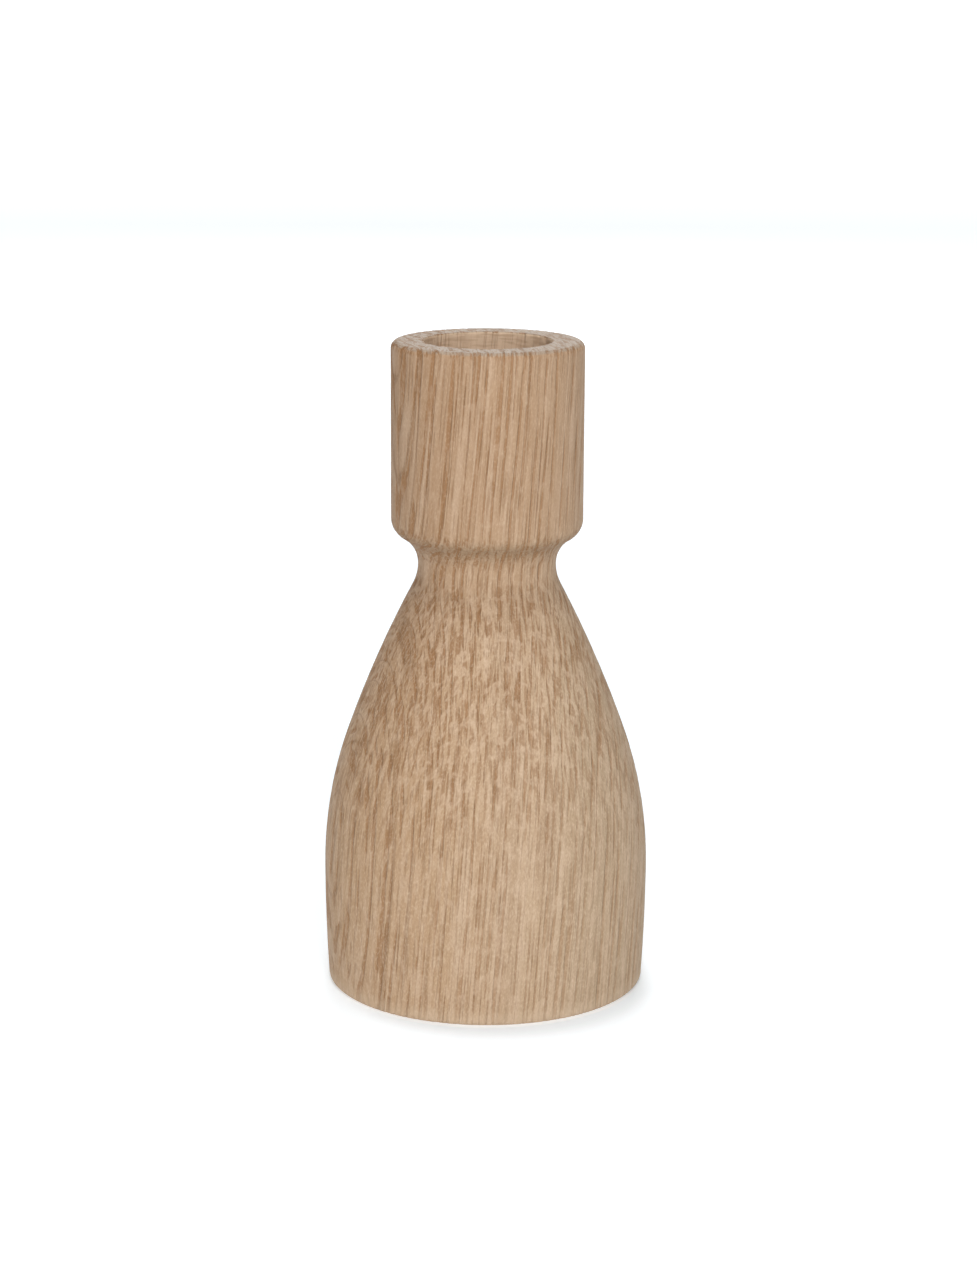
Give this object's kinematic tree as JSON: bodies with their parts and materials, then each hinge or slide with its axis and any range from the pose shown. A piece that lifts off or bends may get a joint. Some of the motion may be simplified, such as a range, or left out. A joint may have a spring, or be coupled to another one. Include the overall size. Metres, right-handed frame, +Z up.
{
  "type": "wooden candlestick",
  "caption": "Turned oak candlestick for a dinner candle: bell-shaped body, narrow neck and cylindrical cup with a plain wooden bore, on a felt pad.",
  "frame": {"origin": "centre of the felt pad's lower face, on the table that the candlestick stands on", "axes": "+Z up along the turning axis, from the base to the candle cup; -Y is the side seen in front, +X is to the right as seen from there"},
  "size_m": [0.06, 0.06, 0.12],
  "materials": {
    "oak": "bare pale oak, fine-sanded and matte, with open grain",
    "adhesive": "thin film of dried contact adhesive",
    "felt": "short dense wool felt"
  },
  "bodies": {
    "root": {"turned_body": "oak", "pad_adhesive": "adhesive", "felt_pad": "felt"}
  },
  "joints": []
}
